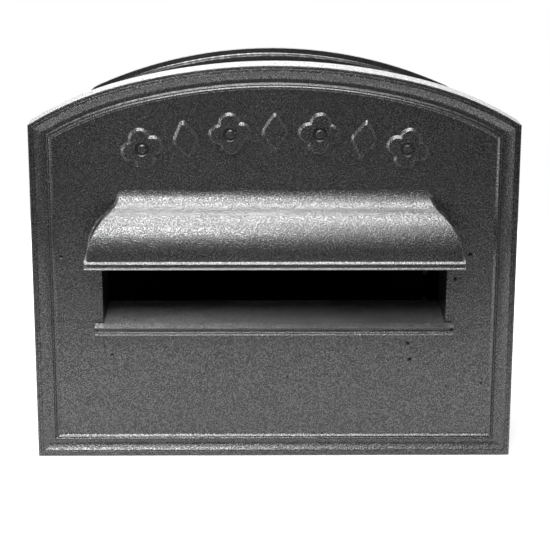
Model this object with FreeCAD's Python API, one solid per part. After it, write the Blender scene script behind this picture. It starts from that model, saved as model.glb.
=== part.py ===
import FreeCAD
import Part
import math
import os

# Wall post box. Millimetres, X to the right, Y into the wall, Z up.
# The origin is on the centre plane, on the wall's face, at the level of the base.

# Front casting: a plate under a three-centred arch, with a rim that stands back to the wall
plate_width = 380.0
plate_height = 316.0
crown_radius = 461.5
haunch_radius = 269.0
crown_half_angle = 15.0
rim_depth = 27.0
rim_wall = 4.5
plate_thickness = 5.0

# Moulding round the plate, from the outer edge inwards
band_width = 3.6
band_relief = 2.0
band_edge_radius = 0.8
roll_width = 8.4
roll_relief = 6.0
groove_width = 1.4
groove_relief = 0.5
bead_width = 3.0
bead_relief = 1.7
bead_nick = 0.9
bead_nick_width = 0.6
bead_flank = 0.6
roll_crest_share = 0.42
roll_rise_bend = (0.34, 0.72)
roll_fall_bend = (0.62, 0.64)
round_corner_share = 1 - math.sqrt(0.5)

# Seven raised ornaments on an arc about the crown's centre
ornament_count = 7
ornament_arc_radius = 409.7
ornament_pitch_angle = 4.83
ornament_relief = 1.9
ornament_flank = 1.1
ornament_root = 0.5
lobe_radius = 8.6
lobe_offset = 8.3
boss_radius = 3.6
lozenge_height = 35.0
lozenge_width = 23.0

# Ogee hood over the slot
hood_top = 219.0
hood_drop = 50.0
hood_top_half = 121.0
hood_flare = 24.5
hood_reach = 26.0
hood_cove_radius = 17.0
hood_wall = 4.0
lip_height = 7.2
lip_proud = 1.6
lip_groove = 2.6
lip_groove_depth = 1.3
lip_edge_radius = 0.8

# Slot and the letter chute behind it
slot_half = 135.5
slot_top = 178.0
sill_face_height = 111.2
sill_slope = 20.5
ramp_slope = 5.0
sill_reach = 8.0
sill_overhang = 6.5
sill_edge = 0.9
sill_groove = 1.5
sill_groove_depth = 1.6
sill_bead = 3.1
chute_depth = 25.0
chute_wall = 4.0

# Sheet sleeve that passes through the wall
sleeve_margin = 30.0
sleeve_lift = 8.5
sleeve_drop = 24.7
sleeve_radius = 372.5
sleeve_corner = 14.0
sleeve_sheet = 1.5
sleeve_depth = 200.0
tab_width = 15.0
side_tab_length = 150.0
side_tab_middle = 140.0
base_tab_length = 200.0
crown_tab_length = 34.0
crown_tab_spacing = 150.0
seam_lap = 22.0
wall_hole_radius = 3.5
wall_hole_front = 55.0
wall_hole_spacing_y = 100.0
wall_hole_low = 70.0
wall_hole_spacing_z = 130.0

# Bosses, screws and washers that hold the sleeve to the casting
boss_height = 6.0
boss_outer_radius = 6.5
screw_radius = 2.5
screw_clearance = 0.1
screw_head_radius = 4.6
screw_head_height = 3.2
screw_head_chamfer = 0.6
screw_grip = 8.0
screw_slot_width = 1.2
screw_slot_depth = 1.4
washer_radius = 5.6
washer_thickness = 1.0
tap_depth = 9.5

# Cast frame at the rear of the sleeve
frame_thickness = 5.0
frame_flange = 8.5
frame_lip = 12.0
collar_depth = 12.0
collar_wall = 3.0
collar_clearance = 0.15
collar_fillet = 1.8
hinge_pad_length = 46.0

# Rear door with its seal
seal_thickness = 1.2
seal_inset = 1.2
door_gap = 0.3
door_overlap = 6.0
door_thickness = 3.0
door_edge_radius = 1.0

# Rivets
rivet_radius = 1.6
rivet_head_radius = 3.2
rivet_head_height = 1.4
rivet_tail_radius = 2.4
rivet_tail_end_radius = 1.8
rivet_tail_height = 1.0
rivet_hole_clearance = 0.05
side_rivet_count = 3
side_rivet_low = 70.0
side_rivet_pitch = 70.0
base_rivet_half_spacing = 80.0
crown_rivet_pitch_angle = 10.5
seam_rivet_count = 5
seam_rivet_margin = 14.0

# Butt hinges on the right as seen from the front
hinge_low = 78.0
hinge_spacing = 130.0
hinge_length = 40.0
hinge_leaf = 2.0
knuckle_radius = 3.5
knuckle_gap = 0.2
knuckle_lift = 0.3
knuckle_root = 2.1
knuckle_foot = 4.0
hinge_side_gap = 1.5
hinge_frame_width = 12.5
hinge_door_width = 17.0
hinge_rivet_spread = 26.0
hinge_screw_reach = 8.2
hinge_screw_depth = 3.4
hinge_screw_slot_width = 0.6
hinge_screw_slot_depth = 0.7
hinge_door_rivet_reach = 12.0
pin_radius = 1.75
pin_clearance = 0.05
pin_head_radius = 2.8
pin_head_height = 1.2

# Cam lock on the door's free side
lock_height = 150.0
lock_inset = 22.0
lock_body_radius = 9.5
lock_hole_clearance = 0.15
lock_head_radius = 12.0
lock_head_height = 3.0
lock_head_round = 1.2
lock_body_gap = 0.4
lock_nut_flats = 24.0
lock_nut_thickness = 4.0
plug_radius = 7.0
plug_clearance = 0.06
plug_recess = 0.4
plug_shoulder_gap = 0.2
tail_width = 6.0
tail_clearance = 0.05
cam_thickness = 2.0
cam_gap = 0.6
cam_width = 14.0
cam_length = 28.0
cam_corner_radius = 2.8
cam_screw_radius = 1.9
cam_screw_head_radius = 4.0
cam_screw_head_height = 2.0
cam_screw_head_chamfer = 0.5
cam_screw_slot_depth = 0.7
cam_screw_length = 6.0
cam_screw_hole_spare = 0.5
key_slot_width = 1.4
key_slot_height = 8.5
key_slot_depth = 4.0

# How far a cutting tool runs past what it cuts, and how near counts as the same place
spare = 1.0
same = 0.01

# Derived places
face_front = -rim_depth
panel_front = face_front + band_relief
panel_back = panel_front + plate_thickness
border_width = band_width + roll_width + groove_width + bead_width
crown_centre = plate_height - crown_radius
lip_top = hood_top - hood_drop
lip_bottom = lip_top - lip_height
lip_half = hood_top_half + hood_flare + lip_proud
lip_front = panel_front - hood_reach - lip_proud
sleeve_half = plate_width / 2 - sleeve_margin
sleeve_top = plate_height - sleeve_drop
sleeve_centre = sleeve_top - sleeve_radius
tab_front = panel_back + boss_height
tab_back = tab_front + sleeve_sheet
frame_front = sleeve_depth
frame_back = frame_front + frame_thickness
door_front = frame_back + seal_thickness + door_gap
door_back = door_front + door_thickness
door_half = sleeve_half - frame_lip + door_overlap
hinge_x = door_half + hinge_side_gap / 2
hinge_y = door_back + knuckle_radius + knuckle_lift
lock_x = -(sleeve_half - frame_lip - lock_inset)
cam_back = frame_front - cam_gap
cam_front = cam_back - cam_thickness
rivet_hole_radius = rivet_radius + rivet_hole_clearance
collar_outer = collar_clearance + collar_wall
flip = FreeCAD.Matrix(-1, 0, 0, 0, 0, 1, 0, 0, 0, 0, 1, 0)


def vec(x, y, z):
    return FreeCAD.Vector(x, y, z)


def line(a, b):
    return Part.LineSegment(a, b).toShape()


def arc(a, b, c):
    return Part.Arc(a, b, c).toShape()


def polygon(points):
    return Part.Face(Part.makePolygon(points + points[:1]))


def box(x0, x1, y0, y1, z0, z1):
    return Part.makeBox(x1 - x0, y1 - y0, z1 - z0, vec(x0, y0, z0))


def rod(radius, start, end):
    axis = end - start
    return Part.makeCylinder(radius, axis.Length, start, axis)


def between(wire, y0, y1):
    face = Part.Face(wire(y0))
    return face.extrude(vec(0, y1 - y0, 0))


def mirrored(shape):
    return shape.mirror(vec(0, 0, 0), vec(1, 0, 0))


# The plate's outline, drawn in by an inset. It starts and ends at the middle of the base.
def plate_outline(inset, y):
    half = plate_width / 2 - inset
    base = inset
    crown = crown_radius - inset
    haunch = haunch_radius - inset
    turn = math.radians(crown_half_angle)
    haunch_x = (crown_radius - haunch_radius) * math.sin(turn)
    haunch_z = crown_centre + (crown_radius - haunch_radius) * math.cos(turn)
    shoulder = haunch_z + math.sqrt(haunch ** 2 - (half - haunch_x) ** 2)
    middle = (turn + math.atan2(half - haunch_x, shoulder - haunch_z)) / 2
    join = vec(crown * math.sin(turn), y, crown_centre + crown * math.cos(turn))
    bend = vec(haunch_x + haunch * math.sin(middle), y, haunch_z + haunch * math.cos(middle))
    corner = vec(half, y, shoulder)
    edges = [
        line(vec(0, y, base), vec(half, y, base)),
        line(vec(half, y, base), corner),
        arc(corner, bend, join),
        arc(join, vec(0, y, crown_centre + crown), flip * join),
        arc(flip * join, flip * bend, flip * corner),
        line(flip * corner, vec(-half, y, base)),
        line(vec(-half, y, base), vec(0, y, base)),
    ]
    return Part.Wire(edges)


# The sleeve's outline, with a positive offset outside its outer face
def sleeve_outline(offset, y):
    half = sleeve_half + offset
    base = sleeve_lift - offset
    crown = sleeve_radius + offset
    corner = sleeve_corner + offset
    corner_x = sleeve_half - sleeve_corner
    low_z = sleeve_lift + sleeve_corner
    high_z = sleeve_centre + math.sqrt((sleeve_radius - sleeve_corner) ** 2 - corner_x ** 2)
    tilt = math.atan2(corner_x, high_z - sleeve_centre)
    bend = (math.pi / 2 + tilt) / 2
    top = vec(crown * math.sin(tilt), y, sleeve_centre + crown * math.cos(tilt))
    high = vec(corner_x + corner * math.sin(bend), y, high_z + corner * math.cos(bend))
    slant = corner * math.sqrt(0.5)
    low = vec(corner_x + slant, y, low_z - slant)
    foot = vec(corner_x, y, base)
    side_low = vec(half, y, low_z)
    side_high = vec(half, y, high_z)
    edges = [
        line(flip * foot, foot),
        arc(foot, low, side_low),
        line(side_low, side_high),
        arc(side_high, high, top),
        arc(top, vec(0, y, sleeve_centre + crown), flip * top),
        arc(flip * top, flip * high, flip * side_high),
        line(flip * side_high, flip * side_low),
        arc(flip * side_low, flip * low, flip * foot),
    ]
    return Part.Wire(edges)


def sleeve_ring(outer, inner, y0, y1):
    solid = between(lambda y: sleeve_outline(outer, y), y0, y1)
    return solid.cut(between(lambda y: sleeve_outline(inner, y), y0, y1))


# Section of the rim and its moulding at the middle of the base, drawn up from the outer edge
def border_section():
    def at(inset, relief):
        return vec(0, panel_front - relief, inset)

    band_top = band_relief
    roll_start = band_width
    roll_end = band_width + roll_width
    crest = roll_start + roll_width * roll_crest_share
    bead_start = roll_end + groove_width
    bead_end = bead_start + bead_width
    bead_middle = (bead_start + bead_end) / 2
    nick_half = bead_nick_width / 2
    edge = band_edge_radius
    bulge = edge * round_corner_share
    rise = roll_relief - band_top
    fall = roll_relief - groove_relief
    edges = [
        line(vec(0, 0, 0), at(0, band_top - edge)),
        arc(at(0, band_top - edge), at(bulge, band_top - bulge), at(edge, band_top)),
        line(at(edge, band_top), at(roll_start, band_top)),
        arc(
            at(roll_start, band_top),
            at(roll_start + (crest - roll_start) * roll_rise_bend[0], band_top + rise * roll_rise_bend[1]),
            at(crest, roll_relief),
        ),
        arc(
            at(crest, roll_relief),
            at(crest + (roll_end - crest) * roll_fall_bend[0], groove_relief + fall * roll_fall_bend[1]),
            at(roll_end, groove_relief),
        ),
        line(at(roll_end, groove_relief), at(bead_start, groove_relief)),
        line(at(bead_start, groove_relief), at(bead_start + bead_flank / 2, bead_relief)),
        line(at(bead_start + bead_flank / 2, bead_relief), at(bead_middle - nick_half, bead_relief)),
        line(at(bead_middle - nick_half, bead_relief), at(bead_middle, bead_relief - bead_nick)),
        line(at(bead_middle, bead_relief - bead_nick), at(bead_middle + nick_half, bead_relief)),
        line(at(bead_middle + nick_half, bead_relief), at(bead_end - bead_flank, bead_relief)),
        line(at(bead_end - bead_flank, bead_relief), at(bead_end, 0)),
        line(at(bead_end, 0), at(bead_end, -plate_thickness)),
        line(at(bead_end, -plate_thickness), at(rim_wall, -plate_thickness)),
        line(at(rim_wall, -plate_thickness), vec(0, 0, rim_wall)),
        line(vec(0, 0, rim_wall), vec(0, 0, 0)),
    ]
    return Part.Wire(edges)


def border():
    sweep = Part.BRepOffsetAPI.MakePipeShell(plate_outline(0, 0))
    sweep.setTransitionMode(2)
    sweep.add(border_section(), False, False)
    sweep.build()
    sweep.makeSolid()
    return sweep.shape()


def panel():
    return between(lambda y: plate_outline(border_width - bead_width / 2, y), panel_front, panel_back)


# An ogee that leaves a wall downwards, coves out and turns down again. It is closed on the wall's side.
def ogee_face(start, drop, reach, inset, back, place):
    turn = 2 * math.atan2(reach, drop)
    spread = drop / math.sin(turn)
    cove = hood_cove_radius
    swell = spread - cove
    top_centre = (start + cove, hood_top)
    low_centre = (
        start + cove - spread * math.cos(turn),
        hood_top - spread * math.sin(turn),
    )

    def on_cove(angle):
        radius = cove + inset
        return place(top_centre[0] - radius * math.cos(angle), top_centre[1] - radius * math.sin(angle))

    def on_swell(angle):
        radius = swell - inset
        return place(low_centre[0] + radius * math.cos(angle), low_centre[1] + radius * math.sin(angle))

    end = low_centre[0] + swell - inset
    edges = [
        arc(on_cove(0), on_cove(turn / 2), on_cove(turn)),
        arc(on_swell(turn), on_swell(turn / 2), on_swell(0)),
        line(on_swell(0), place(end, lip_bottom)),
        line(place(end, lip_bottom), place(back, lip_bottom)),
        line(place(back, lip_bottom), place(back, hood_top)),
        line(place(back, hood_top), on_cove(0)),
    ]
    return Part.Face(Part.Wire(edges))


# The hood's solid form: its side section run across, cut to its flared front outline
def hood_form(inset, back):
    side = ogee_face(
        -panel_front, hood_drop, hood_reach, inset, -back,
        lambda out, z: vec(-lip_half, -out, z),
    )
    run = side.extrude(vec(2 * lip_half, 0, 0))
    end = ogee_face(
        hood_top_half, hood_drop, hood_flare, inset, 0,
        lambda out, z: vec(out, lip_front, z),
    )
    half = end.extrude(vec(0, back - lip_front, 0))
    return run.common(half.fuse(mirrored(half)))


def hood_lip():
    back = panel_front
    lip = box(-lip_half, lip_half, lip_front, back, lip_bottom, lip_top)
    corners = [e for e in lip.Edges if abs(e.Vertexes[0].Y - lip_front) < same and e.BoundBox.ZLength > same]
    lip = lip.makeFillet(lip_proud, corners)
    middle = (lip_bottom + lip_top) / 2
    low = middle - lip_groove / 2
    high = middle + lip_groove / 2
    outer = box(-lip_half - spare, lip_half + spare, lip_front - spare, back, low, high)
    core_half = lip_half - lip_groove_depth
    core = box(-core_half, core_half, lip_front + lip_groove_depth, back, low, high)
    lip = lip.cut(outer.cut(core))
    levels = (lip_bottom, lip_top)
    rims = [
        e for e in lip.Edges
        if e.BoundBox.ZLength < same
        and any(abs(e.BoundBox.ZMin - level) < same for level in levels)
        and e.BoundBox.YMin < back - same
    ]
    return lip.makeFillet(lip_edge_radius, rims)


# The weathered nose outside and the bead under it
def sill_section(x):
    nose_front = panel_front - sill_reach
    nose_top = sill_face_height - sill_reach * math.tan(math.radians(sill_slope))
    groove_top = nose_top - sill_edge
    groove_bottom = groove_top - sill_groove
    nose_bottom = groove_bottom - sill_bead
    chamfer = sill_bead / 4
    return polygon([
        vec(x, panel_back, sill_face_height),
        vec(x, panel_front, sill_face_height),
        vec(x, nose_front, nose_top),
        vec(x, nose_front, groove_top),
        vec(x, nose_front + sill_groove_depth, groove_top),
        vec(x, nose_front + sill_groove_depth, groove_bottom),
        vec(x, nose_front, groove_bottom - chamfer),
        vec(x, nose_front, nose_bottom + chamfer),
        vec(x, nose_front + chamfer, nose_bottom),
        vec(x, panel_back, nose_bottom),
    ])


def sill():
    half = slot_half + sill_overhang
    return sill_section(-half).extrude(vec(2 * half, 0, 0))


# A slice of the chute's sloping floor, between two levels below the ramp's face
def ramp_slab(upper, lower):
    rise = (chute_depth - panel_front) * math.tan(math.radians(ramp_slope))
    half = slot_half + chute_wall
    high = sill_face_height - upper
    low = sill_face_height - lower
    section = polygon([
        vec(-half, panel_front, high),
        vec(-half, chute_depth, high + rise),
        vec(-half, chute_depth, low + rise),
        vec(-half, panel_front, low),
    ])
    return section.extrude(vec(2 * half, 0, 0))


def chute():
    half = slot_half + chute_wall
    start = panel_back - spare
    tube = box(-half, half, start, chute_depth, sill_face_height, slot_top + chute_wall)
    bore = box(-slot_half, slot_half, start - spare, chute_depth + spare, sill_face_height - spare, slot_top)
    return tube.cut(bore).fuse(ramp_slab(0, chute_wall))


def quatrefoil_wire(radius, y):
    tip = lobe_offset + radius
    meet = (lobe_offset + math.sqrt(2 * radius ** 2 - lobe_offset ** 2)) / 2
    edges = [
        arc(vec(meet, y, -meet), vec(tip, y, 0), vec(meet, y, meet)),
        arc(vec(meet, y, meet), vec(0, y, tip), vec(-meet, y, meet)),
        arc(vec(-meet, y, meet), vec(-tip, y, 0), vec(-meet, y, -meet)),
        arc(vec(-meet, y, -meet), vec(0, y, -tip), vec(meet, y, -meet)),
    ]
    return Part.Wire(edges)


def lozenge_wire(inset, y):
    half_w = lozenge_width / 2 - inset
    half_h = lozenge_height / 2 - inset * lozenge_height / lozenge_width
    points = [vec(half_w, y, 0), vec(0, y, half_h), vec(-half_w, y, 0), vec(0, y, -half_h)]
    return Part.makePolygon(points + points[:1])


def quatrefoil():
    base = quatrefoil_wire(lobe_radius, panel_front + ornament_root)
    crest = quatrefoil_wire(lobe_radius - ornament_flank, panel_front - ornament_relief)
    leaf = Part.makeLoft([base, crest], True, True)
    hollow = Part.makeCone(
        boss_radius + ornament_flank, boss_radius + 2 * ornament_flank, ornament_relief,
        vec(0, panel_front, 0), vec(0, -1, 0),
    )
    knob = Part.makeCone(
        boss_radius, boss_radius - ornament_flank, ornament_relief,
        vec(0, panel_front, 0), vec(0, -1, 0),
    )
    return leaf.cut(hollow).fuse(knob)


def lozenge():
    base = lozenge_wire(0, panel_front + ornament_root)
    crest = lozenge_wire(ornament_flank, panel_front - ornament_relief)
    return Part.makeLoft([base, crest], True, True)


def ornaments():
    forms = (quatrefoil(), lozenge())
    placed = []
    for number in range(ornament_count):
        angle = (number - (ornament_count - 1) / 2) * ornament_pitch_angle
        piece = forms[number % 2].copy()
        piece.translate(vec(0, 0, crown_centre + ornament_arc_radius))
        piece.rotate(vec(0, 0, crown_centre), vec(0, 1, 0), angle)
        placed.append(piece)
    return placed


# Where the sleeve's tabs are screwed: two on each side, two below and two over the crown
def screw_places():
    side_x = sleeve_half + tab_width / 2
    side_z = (side_tab_middle - side_tab_length / 3, side_tab_middle + side_tab_length / 3)
    base_x = base_tab_length / 3
    base_z = sleeve_lift + sleeve_sheet + tab_width / 2
    crown_x = crown_tab_spacing / 2
    crown_reach = sleeve_radius - sleeve_sheet - tab_width / 2
    crown_z = sleeve_centre + math.sqrt(crown_reach ** 2 - crown_x ** 2)
    places = [(x, z) for x in (-side_x, side_x) for z in side_z]
    places += [(x, base_z) for x in (-base_x, base_x)]
    places += [(x, crown_z) for x in (-crown_x, crown_x)]
    return places


def hood_hollow():
    half = hood_top_half + hood_flare - hood_wall
    front = panel_front - hood_reach + hood_wall
    before_plate = box(-lip_half, lip_half, lip_front, panel_front, 0, hood_top)
    mouth = box(-half, half, front, panel_front, lip_bottom - spare, lip_bottom + spare)
    return hood_form(hood_wall, panel_back + spare).common(before_plate).fuse(mouth)


def front_casting():
    pieces = [panel(), hood_form(0, panel_front + spare), hood_lip(), sill()]
    slot = box(-slot_half, slot_half, panel_front - same, panel_back + spare, sill_face_height, slot_top)
    body = border().fuse(pieces + ornaments()).cut([hood_hollow(), slot])
    bosses = []
    holes = []
    for x, z in screw_places():
        bosses.append(rod(boss_outer_radius, vec(x, panel_back - spare, z), vec(x, tab_front, z)))
        mouth = vec(x, tab_front + spare, z)
        holes.append(rod(screw_radius + screw_clearance / 2, mouth, vec(x, tab_front - tap_depth, z)))
    return body.fuse([chute()] + bosses).cut(holes).removeSplitter()


def wall_holes():
    reach = sleeve_half + spare
    holes = []
    for y in (wall_hole_front, wall_hole_front + wall_hole_spacing_y):
        for z in (wall_hole_low, wall_hole_low + wall_hole_spacing_z):
            holes.append(rod(wall_hole_radius, vec(-reach, y, z), vec(reach, y, z)))
    return holes


# Folded sheet: the shell, its front tabs and the lap of its seam under the floor
def sleeve():
    shell = sleeve_ring(0, -sleeve_sheet, tab_front, sleeve_depth)
    outward = sleeve_ring(tab_width, -sleeve_sheet, tab_front, tab_back)
    inward = sleeve_ring(0, -sleeve_sheet - tab_width, tab_front, tab_back)
    low = side_tab_middle - side_tab_length / 2
    high = side_tab_middle + side_tab_length / 2
    far = sleeve_half + tab_width
    sides = outward.common(box(-far, far, tab_front, tab_back, low, high))
    base_half = base_tab_length / 2
    base = inward.common(box(-base_half, base_half, tab_front, tab_back, 0, sleeve_top / 2))
    tabs = [sides, base]
    for side in (-1, 1):
        centre = side * crown_tab_spacing / 2
        zone = box(
            centre - crown_tab_length / 2, centre + crown_tab_length / 2,
            tab_front, tab_back, sleeve_top / 2, sleeve_top + tab_width,
        )
        tabs.append(inward.common(zone))
    floor = sleeve_lift + sleeve_sheet
    lap = box(-seam_lap / 2, seam_lap / 2, tab_back, sleeve_depth, floor, floor + sleeve_sheet)
    folded = shell.fuse(tabs + [lap])
    holes = rivet_holes(seam_rivet_lines() + frame_rivet_lines()) + wall_holes()
    for x, z in screw_places():
        start = vec(x, tab_front - spare, z)
        holes.append(rod(screw_radius + screw_clearance, start, vec(x, tab_back + spare, z)))
    return folded.cut(holes).removeSplitter()


def rivet_holes(lines):
    return [rod(rivet_hole_radius, start, end) for start, end in lines]


def seam_rivet_lines():
    first = tab_back + seam_rivet_margin
    last = sleeve_depth - collar_depth - seam_rivet_margin
    lines = []
    for number in range(seam_rivet_count):
        y = first + (last - first) * number / (seam_rivet_count - 1)
        lines.append((vec(0, y, sleeve_lift), vec(0, y, sleeve_lift + 2 * sleeve_sheet)))
    return lines


# Each line runs from the outer face of the collar to the inner face of the sleeve
def frame_rivet_lines():
    y = frame_front - collar_depth / 2
    outer = collar_outer
    inner = -sleeve_sheet
    lines = []
    for side in (-1, 1):
        for number in range(side_rivet_count):
            z = side_rivet_low + number * side_rivet_pitch
            lines.append((vec(side * (sleeve_half + outer), y, z), vec(side * (sleeve_half + inner), y, z)))
        x = side * base_rivet_half_spacing
        lines.append((vec(x, y, sleeve_lift - outer), vec(x, y, sleeve_lift - inner)))
    for step in (-1.5, -0.5, 0.5, 1.5):
        turn = math.radians(step * crown_rivet_pitch_angle)
        along = vec(math.sin(turn), 0, math.cos(turn))
        centre = vec(0, y, sleeve_centre)
        lines.append((centre + along * (sleeve_radius + outer), centre + along * (sleeve_radius + inner)))
    return lines


def dome(radius, height, foot, outward):
    sphere_radius = (radius ** 2 + height ** 2) / (2 * height)
    direction = FreeCAD.Vector(outward).normalize()
    centre = foot + direction * (height - sphere_radius)
    ball = Part.makeSphere(sphere_radius, centre)
    block = Part.makeCylinder(radius + spare, height + spare, foot, direction)
    return ball.common(block)


def rivet(start, end):
    inward = end - start
    shank = rod(rivet_radius, start, end)
    head = dome(rivet_head_radius, rivet_head_height, start, start - end)
    tail = Part.makeCone(rivet_tail_radius, rivet_tail_end_radius, rivet_tail_height, end, inward)
    return shank.fuse([head, tail])


def rivets(lines):
    return Part.makeCompound([rivet(start, end) for start, end in lines])


# Edges that lie whole at one depth
def edges_at(shape, y):
    return [e for e in shape.Edges if abs(e.BoundBox.YMin - y) < same and e.BoundBox.YLength < same]


# A screwdriver slot across a head. A positive depth is cut from the face that looks to the rear.
def screw_slot(face, reach, width, depth):
    low, high = sorted((face.y - depth, face.y + math.copysign(spare, depth)))
    return box(face.x - reach, face.x + reach, low, high, face.z - width / 2, face.z + width / 2)


def casting_screws():
    under = tab_back + washer_thickness
    group = []
    for x, z in screw_places():
        shank = rod(screw_radius, vec(x, under - screw_grip - sleeve_sheet, z), vec(x, under, z))
        head = rod(screw_head_radius, vec(x, under, z), vec(x, under + screw_head_height, z))
        top = under + screw_head_height
        head = head.makeChamfer(screw_head_chamfer, edges_at(head, top))
        slot = screw_slot(vec(x, top, z), screw_head_radius, screw_slot_width, screw_slot_depth)
        group.append(shank.fuse(head).cut(slot))
    return Part.makeCompound(group)


def casting_washers():
    group = []
    for x, z in screw_places():
        rear = tab_back + washer_thickness
        disc = rod(washer_radius, vec(x, tab_back, z), vec(x, rear, z))
        hole = rod(screw_radius + screw_clearance, vec(x, tab_back - spare, z), vec(x, rear + spare, z))
        group.append(disc.cut(hole))
    return Part.makeCompound(group)


def hinge_centres():
    return (hinge_low, hinge_low + hinge_spacing)


def rear_frame():
    flange = sleeve_ring(frame_flange, -frame_lip, frame_front, frame_back)
    collar = sleeve_ring(collar_outer, collar_clearance, frame_front - collar_depth, frame_front)
    frame = flange.fuse(collar).removeSplitter()
    root = sleeve_outline(collar_outer, frame_front)
    frame = frame.makeFillet(collar_fillet, [e for e in frame.Edges if near_wire(e, root)])
    pads = []
    for middle in hinge_centres():
        low = middle - hinge_pad_length / 2
        high = middle + hinge_pad_length / 2
        outer = sleeve_half + frame_flange
        pads.append(box(door_half + hinge_side_gap, outer, frame_back - spare, door_back, low, high))
    holes = rivet_holes(frame_rivet_lines() + hinge_fixing_lines(True))
    return frame.fuse(pads).cut(holes).removeSplitter()


def near_wire(edge, wire):
    middle = edge.valueAt((edge.FirstParameter + edge.LastParameter) / 2)
    flat = edge.BoundBox.YLength < same
    return flat and Part.Vertex(middle).distToShape(wire)[0] < same


def door_seal():
    inner = -frame_lip + seal_inset
    outer = -frame_lip + door_overlap - seal_inset / 2
    return sleeve_ring(outer, inner, frame_back, frame_back + seal_thickness)


def rear_door():
    offset = -frame_lip + door_overlap
    door = between(lambda y: sleeve_outline(offset, y), door_front, door_back)
    door = door.makeFillet(door_edge_radius, edges_at(door, door_back))
    radius = lock_body_radius + lock_hole_clearance
    lock_hole = rod(radius, lock_point(door_front - spare), lock_point(door_back + spare))
    return door.cut([lock_hole] + rivet_holes(hinge_fixing_lines(False)))


# The hinges' fasteners run from the leaf's outer face: blind screws in the frame, rivets through the door
def hinge_fixing_lines(on_frame):
    outer = door_back + hinge_leaf
    x = hinge_x + hinge_screw_reach if on_frame else hinge_x - hinge_door_rivet_reach
    end = frame_back - hinge_screw_depth if on_frame else door_front
    lines = []
    for middle in hinge_centres():
        for side in (-0.5, 0.5):
            z = middle + side * hinge_rivet_spread
            lines.append((vec(x, outer, z), vec(x, end, z)))
    return lines


def hinge_frame_screws():
    group = []
    for start, end in hinge_fixing_lines(True):
        head = dome(rivet_head_radius, rivet_head_height, start, start - end)
        top = vec(start.x, start.y + rivet_head_height, start.z)
        slot = screw_slot(top, rivet_head_radius, hinge_screw_slot_width, hinge_screw_slot_depth)
        group.append(rod(rivet_radius, start, end).fuse(head).cut(slot))
    return Part.makeCompound(group)


def hinge_rod(radius, low, high):
    return rod(radius, vec(hinge_x, hinge_y, low), vec(hinge_x, hinge_y, high))


# A leaf and its knuckles. The frame's leaf has the two end knuckles, the door's leaf the middle one.
def hinge_leaf_solid(middle, on_frame):
    low = middle - hinge_length / 2
    high = middle + hinge_length / 2
    joint_low = middle - hinge_length / 6
    joint_high = middle + hinge_length / 6
    gap = knuckle_gap / 2
    side = 1 if on_frame else -1
    reach = hinge_frame_width if on_frame else hinge_door_width
    ends = [(low, joint_low - gap), (joint_high + gap, high)]
    centre = [(joint_low + gap, joint_high - gap)]
    knuckles = ends if on_frame else centre
    near, far = sorted((hinge_x + side * knuckle_root, hinge_x + side * reach))
    plate = box(near, far, door_back, door_back + hinge_leaf, low, high)
    if on_frame:
        clear = [(joint_low - gap, joint_high + gap)]
    else:
        clear = [(low, joint_low + gap), (joint_high - gap, high)]
    plate = plate.cut([hinge_rod(knuckle_radius + 2 * knuckle_gap, z0 - same, z1 + same) for z0, z1 in clear])
    near, far = sorted((hinge_x, hinge_x + side * knuckle_foot))
    rolls = []
    for z0, z1 in knuckles:
        rolls.append(hinge_rod(knuckle_radius, z0, z1))
        rolls.append(box(near, far, door_back, door_back + hinge_leaf, z0, z1))
    bore = hinge_rod(pin_radius + pin_clearance, low - spare, high + spare)
    leaf = plate.fuse(rolls).cut([bore] + rivet_holes(hinge_fixing_lines(on_frame)))
    return leaf.removeSplitter()


def hinge_pin(middle):
    low = vec(hinge_x, hinge_y, middle - hinge_length / 2)
    high = vec(hinge_x, hinge_y, middle + hinge_length / 2)
    upper = dome(pin_head_radius, pin_head_height, high, high - low)
    lower = dome(pin_head_radius, pin_head_height, low, low - high)
    return rod(pin_radius, low, high).fuse([upper, lower])


def lock_point(y):
    return vec(lock_x, y, lock_height)


def lock_barrel():
    top = door_back + lock_head_height
    head = rod(lock_head_radius, lock_point(door_back), lock_point(top))
    head = head.makeFillet(lock_head_round, edges_at(head, top))
    body = rod(lock_body_radius, lock_point(cam_back + lock_body_gap), lock_point(door_back))
    bore = rod(plug_radius + plug_clearance, lock_point(cam_front), lock_point(top + spare))
    return head.fuse(body).cut(bore)


def lock_nut():
    radius = lock_nut_flats / 2 / math.cos(math.pi / 6)
    points = []
    for number in range(6):
        turn = math.radians(60 * number)
        points.append(vec(lock_x + radius * math.cos(turn), door_front, lock_height + radius * math.sin(turn)))
    nut = polygon(points).extrude(vec(0, -lock_nut_thickness, 0))
    end = door_front - lock_nut_thickness - spare
    return nut.cut(rod(lock_body_radius + rivet_hole_clearance, lock_point(door_front + spare), lock_point(end)))


def lock_plug():
    face = door_back + lock_head_height - plug_recess
    plug = rod(plug_radius, lock_point(cam_back + plug_shoulder_gap), lock_point(face))
    half = tail_width / 2
    tail = box(
        lock_x - half, lock_x + half, cam_front, cam_back + spare,
        lock_height - half, lock_height + half,
    )
    slot_half_width = key_slot_width / 2
    slot_half_height = key_slot_height / 2
    slot = box(
        lock_x - slot_half_width, lock_x + slot_half_width, face - key_slot_depth, face + spare,
        lock_height - slot_half_height, lock_height + slot_half_height,
    )
    bottom = cam_front + cam_screw_length + cam_screw_hole_spare
    tapped = rod(cam_screw_radius + rivet_hole_clearance, lock_point(cam_front - spare), lock_point(bottom))
    return plug.fuse(tail).cut([slot, tapped])


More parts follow.
